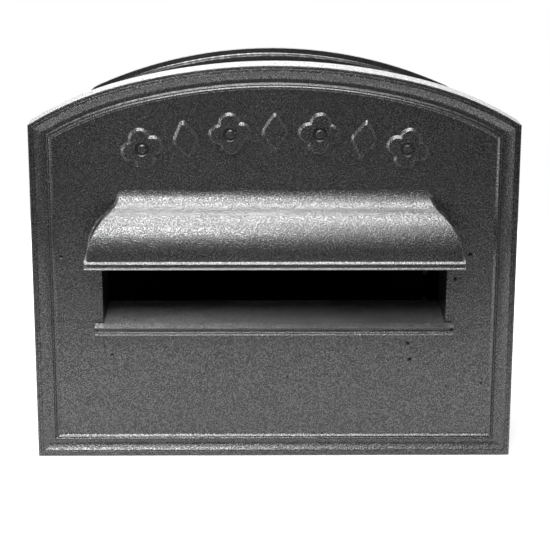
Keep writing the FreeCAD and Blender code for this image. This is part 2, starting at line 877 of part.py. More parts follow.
# The cam hangs down from the plug when the door is free to open
def lock_cam():
    half = cam_width / 2
    tip = lock_height - cam_length
    blade = box(lock_x - half, lock_x + half, cam_front, cam_back, tip, lock_height)
    blade = blade.fuse(rod(half, lock_point(cam_front), lock_point(cam_back)))
    corners = [e for e in blade.Edges if e.BoundBox.YLength > same and abs(e.BoundBox.ZMax - tip) < same]
    blade = blade.makeFillet(cam_corner_radius, corners)
    hole = tail_width / 2 + tail_clearance
    return blade.cut(box(
        lock_x - hole, lock_x + hole, cam_front - spare, cam_back + spare,
        lock_height - hole, lock_height + hole,
    ))


def cam_screw():
    top = cam_front - cam_screw_head_height
    head = rod(cam_screw_head_radius, lock_point(cam_front), lock_point(top))
    head = head.makeChamfer(cam_screw_head_chamfer, edges_at(head, top))
    shank = rod(cam_screw_radius, lock_point(cam_front), lock_point(cam_front + cam_screw_length))
    slot = screw_slot(lock_point(top), cam_screw_head_radius, screw_slot_width, -cam_screw_slot_depth)
    return head.fuse(shank).cut(slot)


def nodes():
    low, high = hinge_centres()
    return {
        "front_casting": front_casting(),
        "sleeve": sleeve(),
        "casting_screws": casting_screws(),
        "casting_washers": casting_washers(),
        "rear_frame": rear_frame(),
        "frame_rivets": rivets(frame_rivet_lines()),
        "seam_rivets": rivets(seam_rivet_lines()),
        "hinge_frame_leaf_lower": hinge_leaf_solid(low, True),
        "hinge_frame_leaf_upper": hinge_leaf_solid(high, True),
        "hinge_frame_screws": hinge_frame_screws(),
        "hinge_pin_lower": hinge_pin(low),
        "hinge_pin_upper": hinge_pin(high),
        "door_seal": door_seal(),
        "rear_door": rear_door(),
        "hinge_door_leaf_lower": hinge_leaf_solid(low, False),
        "hinge_door_leaf_upper": hinge_leaf_solid(high, False),
        "hinge_door_rivets": rivets(hinge_fixing_lines(False)),
        "lock_barrel": lock_barrel(),
        "lock_nut": lock_nut(),
        "lock_plug": lock_plug(),
        "lock_cam": lock_cam(),
        "cam_screw": cam_screw(),
    }


os.makedirs("parts", exist_ok=True)
for name, shape in nodes().items():
    shape.exportStep("parts/" + name + ".step")
    print(name, shape.isValid(), len(shape.Solids), round(shape.Volume), len(shape.Faces))
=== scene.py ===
import bpy
import bmesh
import math
from mathutils import Matrix, Vector, noise


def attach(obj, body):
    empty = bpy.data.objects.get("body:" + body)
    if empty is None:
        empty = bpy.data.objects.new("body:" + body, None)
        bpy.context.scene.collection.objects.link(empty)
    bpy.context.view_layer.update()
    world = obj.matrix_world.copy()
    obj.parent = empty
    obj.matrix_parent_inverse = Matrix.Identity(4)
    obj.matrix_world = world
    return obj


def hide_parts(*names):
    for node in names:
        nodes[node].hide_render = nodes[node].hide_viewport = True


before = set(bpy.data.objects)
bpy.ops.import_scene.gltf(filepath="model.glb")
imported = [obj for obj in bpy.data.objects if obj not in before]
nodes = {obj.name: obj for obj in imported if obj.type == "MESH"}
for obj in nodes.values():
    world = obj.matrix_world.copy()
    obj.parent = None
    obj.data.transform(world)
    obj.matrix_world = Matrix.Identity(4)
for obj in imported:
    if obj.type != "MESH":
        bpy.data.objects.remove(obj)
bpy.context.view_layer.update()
scene = bpy.context.scene
print("frame loaded", len(nodes), "nodes")

toMetres = 0.001  # pieces are modelled in millimetres and scaled once, when they are finished
same = 0.001  # places nearer than this are one place
clear = 0.01  # a vertex this far from a plane is off it
mergeDistance = 0.0005
overrun = 1.0  # how far a form runs into what it joins, or past what it cuts
roundSegments = 32


# Small tools for modelling

def point(bm, x, y, z):
    return bm.verts.new((x, y, z))


def lineTo(bm, vert, x, y, z):  # a straight edge from a vertex to a new one
    new = bmesh.ops.extrude_vert_indiv(bm, verts=[vert])["verts"][0]
    new.co = (x, y, z)
    return new


def closeTo(bm, vertA, vertB):  # an edge between two vertices
    return bmesh.ops.contextual_create(bm, geom=[vertA, vertB])["edges"][0]


def vertsIn(geometry):
    return [g for g in geometry if isinstance(g, bmesh.types.BMVert)]


def edgesIn(geometry):
    return [g for g in geometry if isinstance(g, bmesh.types.BMEdge)]


def facesIn(geometry):
    return [g for g in geometry if isinstance(g, bmesh.types.BMFace)]


def everything(bm):
    return bm.verts[:] + bm.edges[:] + bm.faces[:]


def arcFrom(bm, vert, centre, axis, degrees, steps):  # an arc of edges that starts at a vertex
    made = bmesh.ops.spin(
        bm, geom=[vert], cent=centre, axis=axis, angle=math.radians(degrees), steps=steps,
        use_duplicate=False)
    return vertsIn(made["geom_last"])[0]


def fillEdges(bm, edges):
    return bmesh.ops.contextual_create(bm, geom=edges)["faces"]


def faceToward(faces, normal):
    for face in faces:
        face.normal_update()
        if face.normal.dot(Vector(normal)) < 0:
            face.normal_flip()


def pushFaces(bm, faces, offset):  # extrude faces and move the new ones
    made = bmesh.ops.extrude_face_region(bm, geom=faces)["geom"]
    bmesh.ops.translate(bm, verts=vertsIn(made), vec=offset)
    return facesIn(made)


def pushEdges(bm, edges):  # extrude edges in place, and give the new vertices and edges
    made = bmesh.ops.extrude_edge_only(bm, edges=edges)["geom"]
    return vertsIn(made), edgesIn(made)


def roundEdges(bm, edges, offset, segments=3):
    bmesh.ops.bevel(
        bm, geom=edges, offset=offset, offset_type="OFFSET", affect="EDGES",
        segments=segments, profile=0.5, material=-1, clamp_overlap=True)


def slicePlanes(bm, axis, low, high, pitch):  # planes across the whole mesh at an even pitch
    count = max(1, round((high - low) / pitch))
    normal = Vector((0, 0, 0))
    normal[axis] = 1
    for number in range(1, count):
        spot = Vector((0, 0, 0))
        spot[axis] = low + (high - low) * number / count
        bmesh.ops.bisect_plane(bm, geom=everything(bm), dist=mergeDistance, plane_co=spot, plane_no=normal)


def tidyNormals(bm):
    bmesh.ops.remove_doubles(bm, verts=bm.verts[:], dist=mergeDistance)
    bmesh.ops.recalc_face_normals(bm, faces=bm.faces[:])


def newObject(name, data):
    made = bpy.data.objects.new(name, data)
    scene.collection.objects.link(made)
    return made


def objectFrom(bm, name):
    mesh = bpy.data.meshes.new(name)
    bm.to_mesh(mesh)
    bm.free()
    return newObject(name, mesh)


def baked(obj):  # the object's modifiers made real
    bpy.context.view_layer.update()
    graph = bpy.context.evaluated_depsgraph_get()
    mesh = bpy.data.meshes.new_from_object(obj.evaluated_get(graph))
    obj.modifiers.clear()
    old = obj.data
    obj.data = mesh
    bpy.data.meshes.remove(old)
    return obj


def combine(base, tools, operation):
    for tool in tools:
        cut = base.modifiers.new("combine", "BOOLEAN")
        cut.operation = operation
        cut.solver = "MANIFOLD"
        cut.object = tool
    baked(base)
    for tool in tools:
        bpy.data.objects.remove(tool)
    return base


def paintMesh(mesh, material):
    mesh.materials.clear()
    mesh.materials.append(material)


def finishPiece(obj, material, body, replaced, sharpAngle=32):
    mesh = obj.data
    mesh.transform(Matrix.Scale(toMetres, 4))
    paintMesh(mesh, material)
    mesh.shade_smooth()
    mesh.set_sharp_from_angle(angle=math.radians(sharpAngle))
    even = obj.modifiers.new("evenShade", "WEIGHTED_NORMAL")  # flat faces stay flat beside rounded edges
    even.keep_sharp = True
    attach(obj, body)
    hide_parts(replaced)
    print(obj.name, len(mesh.polygons), "faces")


def prism(points, x0, x1):  # a side section, given as y and z, run across from x0 to x1
    bm = bmesh.new()
    first = vert = point(bm, x0, *points[0])
    for y, z in points[1:]:
        vert = lineTo(bm, vert, x0, y, z)
    closeTo(bm, vert, first)
    pushFaces(bm, fillEdges(bm, bm.edges[:]), (x1 - x0, 0, 0))
    tidyNormals(bm)
    return bm


# A bar across the front with a sloping top, soft along its length and rounded at its two ends
def bead(half, front, back, low, high, slope, soft, leftRound, rightRound):
    bm = prism([
        (back, high), (front + slope, high), (front, high - slope), (front, low), (back, low)], -half, half)
    ahead = back - clear
    if soft:
        roundEdges(bm, [
            e for e in bm.edges
            if abs(e.verts[0].co.x - e.verts[1].co.x) > half and e.verts[0].co.y < ahead], soft)
    for x, radius in ((-half, leftRound), (half, rightRound)):
        if radius:
            roundEdges(bm, [
                e for e in bm.edges
                if all(abs(v.co.x - x) < same and v.co.y < ahead for v in e.verts)], radius, 4)
    return bm


def roundPost(backRadius, frontRadius, depth, place):  # a cone along the depth with its middle at a place
    bm = bmesh.new()
    bmesh.ops.create_cone(
        bm, cap_ends=True, segments=roundSegments, radius1=backRadius, radius2=frontRadius, depth=depth,
        matrix=Matrix.Translation(place) @ Matrix.Rotation(math.radians(90), 4, "X"))
    return bm


# Tools for materials, and the effects that several of them share

mixInputs = (0, 6, 7)  # a colour Mix node's factor and its two colours
mixResult = 2


def newGroup(name, inputs, outputs):
    group = bpy.data.node_groups.new(name, "ShaderNodeTree")
    for side, sockets in (("INPUT", inputs), ("OUTPUT", outputs)):
        for label, kind in sockets:
            group.interface.new_socket(label, in_out=side, socket_type="NodeSocket" + kind)
    return group, group.nodes.new("NodeGroupInput"), group.nodes.new("NodeGroupOutput")


def addNode(tree, kind, **settings):
    made = tree.nodes.new(kind)
    for key, value in settings.items():
        setattr(made, key, value)
    return made


def feed(tree, socket, value):  # a value, or the output that it comes from
    if isinstance(value, bpy.types.NodeSocket):
        tree.links.new(value, socket)
    else:
        socket.default_value = value


def feedAll(tree, node, values):
    for label, value in values.items():
        feed(tree, node.inputs[label], value)


def mathNode(tree, operation, a, b):
    made = addNode(tree, "ShaderNodeMath", operation=operation)
    feed(tree, made.inputs[0], a)
    feed(tree, made.inputs[1], b)
    return made.outputs[0]


def noiseAt(tree, coords, scale, detail, rough=0.5):
    made = addNode(tree, "ShaderNodeTexNoise")
    feedAll(tree, made, {"Vector": coords, "Scale": scale, "Detail": detail, "Roughness": rough})
    return made.outputs["Fac"]


def spread(tree, value, low, high, toLow=0.0, toHigh=1.0):
    made = addNode(tree, "ShaderNodeMapRange")
    feedAll(tree, made, {
        "Value": value, "From Min": low, "From Max": high, "To Min": toLow, "To Max": toHigh})
    return made.outputs["Result"]


def mixColour(tree, factor, first, second):
    made = addNode(tree, "ShaderNodeMix", data_type="RGBA")
    for index, value in zip(mixInputs, (factor, first, second)):
        feed(tree, made.inputs[index], (*value, 1) if isinstance(value, tuple) else value)
    return made.outputs[mixResult]


def bumpFrom(tree, height, strength, distance):
    made = addNode(tree, "ShaderNodeBump")
    feedAll(tree, made, {"Height": height, "Strength": strength, "Distance": distance})
    return made.outputs["Normal"]


grainShape = {  # a noise as its scale, where that is fixed, its detail and its roughness; a range as two ends
    "grain": (1.0, 0.5), "lump": (4.0, 0.55), "clouds": (14.0, 3.0, 0.5), "speckleRange": (0.47, 0.55),
    "cloudRange": (0.3, 0.7),
}
dustAndSheenShape = {  # pale dust with painted sheen on up-facing surfaces, painted lighter to the left; "facing" is how far a surface looks up, "across" is a place from left to right in metres
    "facing": (0.7, 0.98), "patches": (70.0, 4.0, 0.6), "patchRange": (0.3, 0.6, 0.75, 1.0),
    "grainRange": (0.0, 1.0, 0.25, 1.0), "across": (-0.15, 0.08, 1.0, 0.4),
}


def buildSandGrain():  # the surface that a sand mould leaves under paint
    group, into, out = newGroup(
        "sandGrain",
        [("Vector", "Vector"), ("Grain Scale", "Float"), ("Lump Scale", "Float"), ("Lumps", "Float")],
        [("Height", "Float"), ("Speckle", "Float"), ("Clouds", "Float")])
    vector = into.outputs["Vector"]
    grain = noiseAt(group, vector, into.outputs["Grain Scale"], *grainShape["grain"])
    lump = noiseAt(group, vector, into.outputs["Lump Scale"], *grainShape["lump"])
    clouds = noiseAt(group, vector, *grainShape["clouds"])
    feedAll(group, out, {
        "Height": mathNode(group, "ADD", grain, mathNode(group, "MULTIPLY", lump, into.outputs["Lumps"])),
        "Speckle": spread(group, grain, *grainShape["speckleRange"]),
        "Clouds": spread(group, clouds, *grainShape["cloudRange"])})
    return group


def buildDustAndPaintedSheen():  # pale dust and painted sheen on what faces up, broken by the grain; the sheen stands in for the light that falls on up-facing surfaces
    group, into, out = newGroup(
        "dustAndPaintedSheen",
        [("Vector", "Vector"), ("Normal", "Vector"), ("Speckle", "Float")],
        [("Mask", "Float")])
    split = addNode(group, "ShaderNodeSeparateXYZ")
    group.links.new(into.outputs["Normal"], split.inputs[0])
    place = addNode(group, "ShaderNodeSeparateXYZ")
    group.links.new(into.outputs["Vector"], place.inputs[0])
    patches = noiseAt(group, into.outputs["Vector"], *dustAndSheenShape["patches"])
    mask = spread(group, split.outputs["Z"], *dustAndSheenShape["facing"])
    for share in (
            spread(group, patches, *dustAndSheenShape["patchRange"]),
            spread(group, into.outputs["Speckle"], *dustAndSheenShape["grainRange"]),
            spread(group, place.outputs["X"], *dustAndSheenShape["across"])):  # painted light: the dust and sheen are stronger on the left, where the light falls more
        mask = mathNode(group, "MULTIPLY", mask, share)
    group.links.new(mask, out.inputs["Mask"])
    return group


sandGrain = buildSandGrain()
dustAndPaintedSheen = buildDustAndPaintedSheen()


def newMaterial(name):
    material = bpy.data.materials.new(name)
    material.use_nodes = True
    tree = material.node_tree
    coords = addNode(tree, "ShaderNodeTexCoord").outputs["Object"]
    return material, tree, tree.nodes["Principled BSDF"], coords


castLook = {
    "pit": (0.001, 0.001, 0.001), "dark": (0.034, 0.0341, 0.0345), "light": (0.05, 0.0502, 0.0506),
    # the pale colour of dust and of painted sheen, laid on what faces up
    "dust": (0.8, 0.8, 0.81), "dustAndSheenAmount": 1.0, "roughLow": 0.2, "roughHigh": 0.38,
    "grainScale": 1150.0, "grainDepth": 0.4, "lumpScale": 130.0, "lumps": 0.6,
    "bump": 1.0, "bumpDistance": 0.00033, "ior": 1.9, "coat": 1.0, "coatRough": 0.2,
}
sheetLook = dict(
    castLook, pit=(0.016, 0.016, 0.017), dark=(0.018, 0.018, 0.019), light=(0.024, 0.024, 0.025),
    dustAndSheenAmount=0.0, roughLow=0.16, roughHigh=0.24, grainScale=500.0, grainDepth=1.0, lumpScale=30.0,
    bump=0.12, coat=0.3, coatRough=0.1)
frameLook = dict(
    castLook, pit=(0.012, 0.012, 0.013), dark=(0.02, 0.02, 0.021), light=(0.026, 0.026, 0.027),
    # the frame's up-facing top takes some of the dust and painted sheen too
    dustAndSheenAmount=0.3, roughLow=0.14, roughHigh=0.26, grainScale=260.0, grainDepth=1.0, lumpScale=60.0,
    bump=0.3, coat=0.5, coatRough=0.1)


def blackPaint(look, name):
    material, tree, shader, coords = newMaterial(name)
    drawn = addNode(tree, "ShaderNodeVectorMath", operation="MULTIPLY")  # grains are longer along the depth
    feed(tree, drawn.inputs[0], coords)
    feed(tree, drawn.inputs[1], (1, look["grainDepth"], 1))
    grain = addNode(tree, "ShaderNodeGroup", node_tree=sandGrain)
    feedAll(tree, grain, {
        "Vector": drawn.outputs[0], "Grain Scale": look["grainScale"], "Lump Scale": look["lumpScale"],
        "Lumps": look["lumps"]})
    speckle = grain.outputs["Speckle"]
    paint = mixColour(tree, grain.outputs["Clouds"], look["dark"], look["light"])
    paint = mixColour(tree, speckle, look["pit"], paint)  # darker in the grain's pits
    # pale dust with painted sheen, and painted light stronger to the left, laid over the paint on what faces
    # up
    dust = addNode(tree, "ShaderNodeGroup", node_tree=dustAndPaintedSheen)
    feedAll(tree, dust, {
        "Vector": coords, "Normal": tree.nodes["Texture Coordinate"].outputs["Normal"], "Speckle": speckle})
    dustAndSheenShare = mathNode(tree, "MULTIPLY", dust.outputs["Mask"], look["dustAndSheenAmount"])
    feedAll(tree, shader, {
        "Base Color": mixColour(tree, dustAndSheenShare, paint, look["dust"]),
        "Coat Weight": mathNode(tree, "MULTIPLY", speckle, look["coat"]),
        "Coat Roughness": look["coatRough"],
        "Roughness": spread(tree, speckle, 0, 1, look["roughHigh"], look["roughLow"]),
        "Normal": bumpFrom(tree, grain.outputs["Height"], look["bump"], look["bumpDistance"]),
        "IOR": look["ior"]})
    return material


evenLook = {"tint": (220.0, 3.0), "tintDark": 0.8, "wear": (500.0, 2.0), "wearLow": 0.8, "wearHigh": 1.25}


def evenFinish(name, colour, roughness, metallic):
    material, tree, shader, coords = newMaterial(name)
    darker = tuple(c * evenLook["tintDark"] for c in colour)
    feedAll(tree, shader, {
        "Base Color": mixColour(tree, noiseAt(tree, coords, *evenLook["tint"]), darker, colour),
        "Roughness": spread(
            tree, noiseAt(tree, coords, *evenLook["wear"]), 0, 1, roughness * evenLook["wearLow"],
            roughness * evenLook["wearHigh"]),
        "Metallic": metallic})
    return material


castMaterial = blackPaint(castLook, "castPaint")
sheetMaterial = blackPaint(sheetLook, "sheetPaint")
frameMaterial = blackPaint(frameLook, "framePaint")
zincMaterial = evenFinish("zincPlate", (0.62, 0.62, 0.6), 0.32, 1.0)
chromeMaterial = evenFinish("lockChrome", (0.75, 0.75, 0.77), 0.1, 1.0)
hingeMaterial = evenFinish("hingePaint", (0.03, 0.03, 0.032), 0.3, 0.0)
rubberMaterial = evenFinish("sealRubber", (0.02, 0.02, 0.02), 0.7, 0.0)

nodeFinishes = [
    (castMaterial, ["front_casting"]),
    (frameMaterial, ["rear_frame"]),
    (sheetMaterial, ["sleeve", "frame_rivets", "seam_rivets", "rear_door"]),
    (hingeMaterial, [
        "hinge_frame_leaf_lower", "hinge_frame_leaf_upper",
        "hinge_door_leaf_lower", "hinge_door_leaf_upper"]),
    (zincMaterial, [
        "casting_screws", "casting_washers", "hinge_frame_screws", "hinge_pin_lower", "hinge_pin_upper",
        "hinge_door_rivets", "lock_nut", "lock_cam", "cam_screw"]),
    (chromeMaterial, ["lock_barrel", "lock_plug"]),
    (rubberMaterial, ["door_seal"]),
]
for material, names in nodeFinishes:
    for name in names:
        paintMesh(nodes[name].data, material)
print("materials made")


# The front casting: the plate and its moulding

plate = {
    "half": 190.0, "height": 316.0, "crownRadius": 461.5, "haunchRadius": 269.0, "crownAngle": 15.0,
    "crownSteps": 12, "haunchSteps": 10, "panelFront": -25.0, "thickness": 5.0, "rimWall": 4.5,
    "gridPitch": 7.0, "wave": 0.09, "waveLength": 24.0,
    "lastStep": 3.0,  # the arc's last edge is long, in degrees, so that the insets never overrun it
    "rearFlat": 0.8, "rearSoft": 0.5, "rimDraft": 0.05, "backFillet": 2.5, "filletKnee": (0.7, 1.4),
}
moulding = {  # distance in from the outer edge, relief above the panel
    "edge": [(0.0, 1.1), (0.12, 1.55), (0.42, 1.88), (0.85, 2.0)],
    "band": [(1.9, 2.05), (2.1, 1.7), (2.35, 1.7), (2.6, 2.15), (3.9, 2.35), (4.1, 2.0), (4.35, 2.0),
             (4.6, 2.45)],
    "cove": [(4.9, 2.42), (5.3, 2.2), (6.1, 1.67), (6.9, 1.17), (7.7, 0.7), (8.5, 0.26), (9.3, -0.14),
             (10.0, -0.42), (10.8, -0.58), (12.0, -0.64), (13.3, -0.6)],
    "bead": [(13.5, -0.45), (13.8, 0.25), (14.2, 0.85), (14.6, 1.15), (15.0, 0.85), (15.3, 0.6), (15.6, 0.85),
             (16.0, 1.35), (16.4, 1.55), (16.8, 1.25), (17.3, 0.75), (17.8, 0.3), (18.3, 0.03), (18.6, 0.0)],
}
unevenDepth = 0.3  # the unevenness changes more slowly along the depth
crownCentre = plate["height"] - plate["crownRadius"]


def unevenness(co, length):
    return noise.noise(Vector((co.x, co.y * unevenDepth, co.z)) / length)


def plateOutline(bm, y):
    turn = math.radians(plate["crownAngle"])
    span = plate["crownRadius"] - plate["haunchRadius"]
    haunch = (span * math.sin(turn), y, crownCentre + span * math.cos(turn))
    reach = math.degrees(math.asin((plate["half"] - haunch[0]) / plate["haunchRadius"]))
    vert = point(bm, 0, y, plate["height"])
    for centre, degrees, steps in (
            ((0, y, crownCentre), plate["crownAngle"], plate["crownSteps"]),
            (haunch, reach - plate["lastStep"] - plate["crownAngle"], plate["haunchSteps"]),
            (haunch, plate["lastStep"], 1)):
        vert = arcFrom(bm, vert, centre, (0, 1, 0), degrees, steps)
    vert = lineTo(bm, vert, plate["half"], y, 0)
    lineTo(bm, vert, 0, y, 0)
    bmesh.ops.mirror(bm, geom=bm.verts[:] + bm.edges[:], axis="X", merge_dist=same)
    bmesh.ops.remove_doubles(bm, verts=bm.verts[:], dist=same)
    return bm.edges[:]


def insetSteps(bm, faces, steps):
    for thickness, depth in steps:
        bmesh.ops.inset_region(
            bm, faces=faces, thickness=thickness, depth=depth, use_even_offset=True, use_boundary=True)


def makePlate():
    steps = [step for part in moulding.values() for step in part]
    bm = bmesh.new()
    faces = fillEdges(bm, plateOutline(bm, 0))
    faceToward(faces, (0, 1, 0))
    pushFaces(bm, faces, (0, plate["panelFront"] - steps[0][1], 0))
    tidyNormals(bm)
    front = [f for f in bm.faces if f.normal.y < -0.9]
    rear = [f for f in bm.faces if f.normal.y > 0.9]
    insetSteps(bm, front, [(b[0] - a[0], b[1] - a[1]) for a, b in zip(steps, steps[1:])])
    inside = plate["panelFront"] + plate["thickness"]
    fillet, soft = plate["backFillet"], plate["rearSoft"]
    kneeIn, kneeDown = plate["filletKnee"]
    insetSteps(bm, rear, [
        (plate["rearFlat"], 0), (plate["rimWall"] - plate["rearFlat"] - soft, 0), (soft, -soft),
        (plate["rimDraft"], inside + fillet + soft), (kneeIn, -kneeDown),
        (fillet - kneeIn, kneeDown - fillet)])
    slicePlanes(bm, 0, -plate["half"], plate["half"], plate["gridPitch"])
    slicePlanes(bm, 2, 0, plate["height"], plate["gridPitch"])
    for vert in bm.verts:
        vert.co.y += plate["wave"] * unevenness(vert.co, plate["waveLength"])
    tidyNormals(bm)
    return objectFrom(bm, "frontCasting")


# The hood, its lip, the sill and the chute

hood = {
    "top": 219.0, "drop": 50.0, "topHalf": 121.0, "flare": 24.5, "cove": 21.5, "wall": 4.0,
    "sideTop": 222.6, "sideDrop": 53.6, "sunk": 0.3, "reach": 26.0, "sideCove": 22.5,
    "coveSteps": 16, "swellSteps": 20, "columns": 60,
    "edgeRound": 1.2, "roundTurns": (30, 60, 90), "roundShare": 0.6, "endDraft": 0.8, "draftDepth": 8.0,
    "root": 0.8, "rootGap": 0.05, "leastStep": 0.01, "lap": 0.6, "hollowBack": -19.0,
    "wave": 0.12, "waveLength": 26.0, "waveFrom": 1.0, "waveFade": 6.0,
}
lip = {
    "top": 168.7, "topBead": 2.9, "groove": 2.1, "lowBead": 2.2, "proud": 1.6, "grooveDepth": 2.0,
    "soft": 0.45, "topSlope": 2.4, "lowSlope": 1.6, "leftRound": 0.25, "rightRound": 0.9,
    "coreInset": 0.8, "coreSlope": 0.5, "coreRound": 0.6,
}
level = 0.0001  # an edge that falls less than this is level
lipBottom = lip["top"] - lip["topBead"] - lip["groove"] - lip["lowBead"]
lipHalf = hood["topHalf"] + hood["flare"] + lip["proud"]
lipFront = plate["panelFront"] - hood["reach"] - lip["proud"]


def hoodHalf(z, inset):  # half the hood's width at a height, by its front outline
    turn = 2 * math.atan2(hood["flare"], hood["drop"])
    across = hood["drop"] / math.sin(turn)
    cove = hood["cove"] + inset
    swell = across - cove
    below = max(hood["top"] - z, 0)
    side = hood["topHalf"] + hood["cove"]
    if below <= cove * math.sin(turn):
        return side - math.sqrt(max(cove ** 2 - below ** 2, 0))
    lowZ = hood["top"] - across * math.sin(turn)
    return side - across * math.cos(turn) + math.sqrt(swell ** 2 - max(z - lowZ, 0) ** 2)


def hoodSection(bm, inset, lowZ):  # the hood's side section, a cove over a swell, drawn at x = -1
    turn = 2 * math.atan2(hood["reach"] + hood["sunk"], hood["sideDrop"])
    across = hood["sideDrop"] / math.sin(turn)
    start = -plate["panelFront"] - hood["sunk"]
    lowCentre = start + hood["sideCove"] - across * math.cos(turn)
    vert = point(bm, -1, -start + inset, hood["sideTop"])
    for y, z, degrees, steps in (
            (-start - hood["sideCove"], hood["sideTop"], -math.degrees(turn), hood["coveSteps"]),
            (-lowCentre, hood["sideTop"] - hood["sideDrop"], math.degrees(turn), hood["swellSteps"])):
        vert = arcFrom(bm, vert, (-1, y, z), (1, 0, 0), degrees, steps)
    lineTo(bm, vert, -1, vert.co.y, lowZ)


def pushEnd(bm, ends):  # a new row in place at an end, without the edges that join it to the last row
    verts, edges = pushEdges(bm, ends)
    return verts, [e for e in edges if abs(e.verts[0].co.z - e.verts[1].co.z) > level]


def hoodEnd(bm, ends, rounding, backY):  # an end goes round, drafts down to its root and runs back
    panel = plate["panelFront"]
    if rounding:
        last = 0
        for angle in [math.radians(degrees) for degrees in hood["roundTurns"]]:
            verts, ends = pushEnd(bm, ends)
            for vert in verts:
                soft = min(rounding, max(panel - vert.co.y, 0) * hood["roundShare"])
                vert.co.x += math.copysign(soft, vert.co.x) * (math.sin(angle) - math.sin(last))
                vert.co.y += max(soft * (math.cos(last) - math.cos(angle)), hood["leastStep"])
            last = angle
        verts, ends = pushEnd(bm, ends)
        for vert in verts:
            draft = hood["endDraft"] * min(1, max(panel - vert.co.y, 0) / hood["draftDepth"])
            vert.co.x += math.copysign(draft, vert.co.x)
            vert.co.y = max(vert.co.y + hood["leastStep"], panel - hood["root"])
        verts, ends = pushEnd(bm, ends)
        for vert in verts:
            vert.co.x += math.copysign(hood["root"], vert.co.x)
            vert.co.y = max(vert.co.y + hood["leastStep"], panel - hood["rootGap"])
    verts, ends = pushEnd(bm, ends)
    for vert in verts:
        vert.co.y = backY
    return ends


def hoodForm(inset, backY, lowZ, rounding):
    bm = bmesh.new()
    hoodSection(bm, inset, lowZ)
    left = right = bm.edges[:]
    for number in range(hood["columns"]):
        verts, right = pushEdges(bm, right)
        bmesh.ops.translate(bm, verts=verts, vec=(2 / hood["columns"], 0, 0))
        right = [e for e in right if abs(e.verts[0].co.x - e.verts[1].co.x) < same]
    for vert in bm.verts:
        depth = plate["panelFront"] - vert.co.y
        half = hoodHalf(vert.co.z, inset) - min(rounding, max(depth, 0) * hood["roundShare"])
        vert.co.x *= half
        if rounding and depth > hood["waveFrom"]:
            fade = hood["waveFade"]
            away = min(1, (half - abs(vert.co.x)) / fade) * min(1, abs(vert.co.z - lip["top"]) / fade)
            vert.co.y += hood["wave"] * away * unevenness(vert.co, hood["waveLength"])
    lastRows = [hoodEnd(bm, ends, rounding, backY) for ends in (left, right)]
    backs = []
    for z in (hood["sideTop"], lowZ):  # the flat faces over and under the form, then its back
        row = [e for e in bm.edges if e.is_boundary and all(abs(v.co.z - z) < same for v in e.verts)]
        corners = [v for ends in lastRows for e in ends for v in e.verts if abs(v.co.z - z) < same]
        back = closeTo(bm, corners[0], corners[1])
        fillEdges(bm, row + [back])
        backs.append(back)
    fillEdges(bm, lastRows[0] + lastRows[1] + backs)
    tidyNormals(bm)
    return bm


def hoodShell():
    bm = hoodForm(0, plate["panelFront"] + overrun, lipBottom + hood["lap"], hood["edgeRound"])
    return objectFrom(bm, "hoodShell")


def hoodHollow():
    bm = hoodForm(hood["wall"], hood["hollowBack"], lipBottom - overrun, 0)
    cut = bmesh.ops.bisect_plane(
        bm, geom=everything(bm), dist=mergeDistance, plane_co=(0, plate["panelFront"], 0),
        plane_no=(0, 1, 0), clear_outer=True)
    fillEdges(bm, edgesIn(cut["geom_cut"]))
    tidyNormals(bm)
    return objectFrom(bm, "hoodHollow")


def lipBars():
    back = plate["panelFront"] + overrun
    inner = lip["grooveDepth"]
    core = bead(
        lipHalf - inner, lipFront + inner, back, lipBottom + lip["coreInset"], lip["top"] - lip["coreInset"],
        lip["coreSlope"], 0, 0, lip["coreRound"])
    rounds = (lip["leftRound"], lip["rightRound"])
    bars = [
        bead(lipHalf, lipFront, back, low, low + height, slope, lip["soft"], *rounds)
        for low, height, slope in (
            (lipBottom, lip["lowBead"], lip["lowSlope"]),
            (lip["top"] - lip["topBead"], lip["topBead"], lip["topSlope"]))]
    return [objectFrom(bm, "lipBar") for bm in bars + [core]]


sill = {
    "faceHeight": 111.2, "slope": 13.0, "reach": 8.0, "overhang": 6.5, "edge": 0.4, "noseRound": 0.25,
    "upperBead": 2.0, "upperInset": 0.5, "upperSoft": 0.25, "lowerBead": 1.7, "lowerSoft": 0.2, "lap": 0.5,
    "beadSlope": 1.3, "slopeShare": 0.8, "leftRound": 0.25, "rightRound": 0.7,
    "groove": 2.6, "grooveDepth": 3.0, "coreBelow": 1.2, "coreAbove": 0.3, "coreSlope": 0.4, "coreRound": 0.6,
}


def sillNose(half, front, back, noseTop, grooveTop):
    nose = prism([
        (back, sill["faceHeight"]), (plate["panelFront"], sill["faceHeight"]), (front, noseTop),
        (front, grooveTop), (back, grooveTop)], -half, half)
    rims = [
        e for e in nose.edges
        if all(v.co.y < back - clear for v in e.verts) and min(v.co.y for v in e.verts) < front + clear]
    roundEdges(nose, rims, sill["noseRound"])
    return nose


def sillParts():
    half = slot["half"] + sill["overhang"]
    back = plate["panelFront"] + overrun
    front = plate["panelFront"] - sill["reach"]
    noseTop = sill["faceHeight"] - sill["reach"] * math.tan(math.radians(sill["slope"]))
    grooveTop = noseTop - sill["edge"]
    beadTop = grooveTop - sill["groove"]
    step = beadTop - sill["upperBead"]
    slope, share, inner = sill["beadSlope"], sill["slopeShare"], sill["grooveDepth"]
    rounds = (sill["leftRound"], sill["rightRound"])
    parts = {
        "sillNose": sillNose(half, front, back, noseTop, grooveTop),
        "sillBead": bead(
            half - sill["upperInset"], front + slope * share, back, step - sill["lap"], beadTop, slope,
            sill["upperSoft"], *rounds),
        "sillFoot": bead(
            half, front, back, step - sill["lowerBead"], step, slope * share, sill["lowerSoft"], *rounds),
        "sillCore": bead(
            half - inner, front + inner, back, beadTop - sill["coreBelow"], grooveTop + sill["coreAbove"],
            sill["coreSlope"], 0, 0, sill["coreRound"])}
    return [objectFrom(bm, name) for name, bm in parts.items()]


